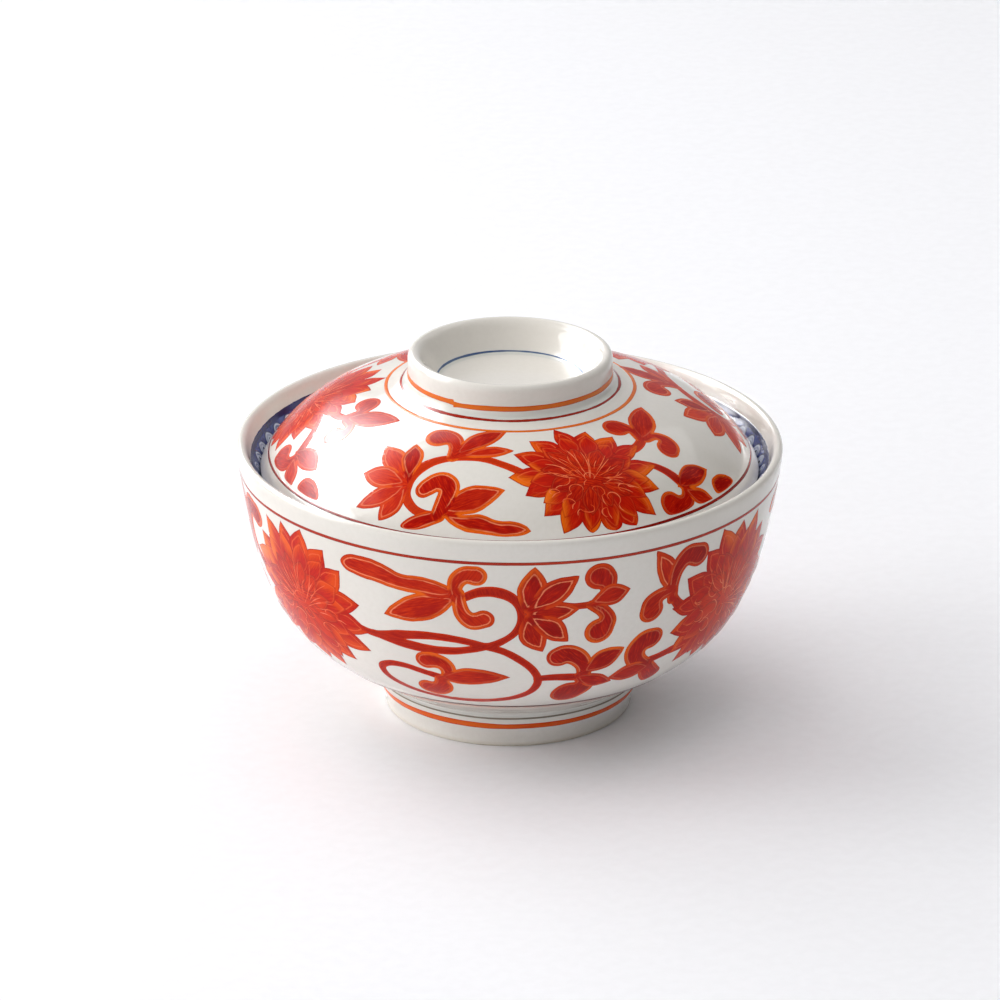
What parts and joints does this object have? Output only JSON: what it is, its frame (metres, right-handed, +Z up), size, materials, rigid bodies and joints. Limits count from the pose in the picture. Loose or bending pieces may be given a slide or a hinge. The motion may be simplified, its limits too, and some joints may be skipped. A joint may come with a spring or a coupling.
{
  "type": "lidded rice bowl",
  "caption": "Round footed porcelain bowl with a domed drop-in lid that lifts straight off by a ring-shaped grip.",
  "frame": {"origin": "centre of the foot ring's flat resting face", "axes": "+Z up along the bowl's axis of symmetry; front is -Y"},
  "size_m": [0.125, 0.125, 0.086],
  "materials": {
    "bowl_body": "gloss clear glaze on white porcelain",
    "bowl_foot_ring": "gloss glaze, bare biscuit on the resting face",
    "lid_shell": "gloss clear glaze on white porcelain",
    "lid_ring_knob": "gloss clear glaze on white porcelain"
  },
  "bodies": {
    "bowl": {"bowl_body": "bowl_body", "bowl_foot_ring": "bowl_foot_ring"},
    "lid": {"lid_shell": "lid_shell", "lid_ring_knob": "lid_ring_knob"}
  },
  "joints": [
    {"name": "lid_lift", "type": "slide", "parent": "bowl", "child": "lid", "axis": [0, 0, 1], "range_m": [0, 0.07]}
  ]
}
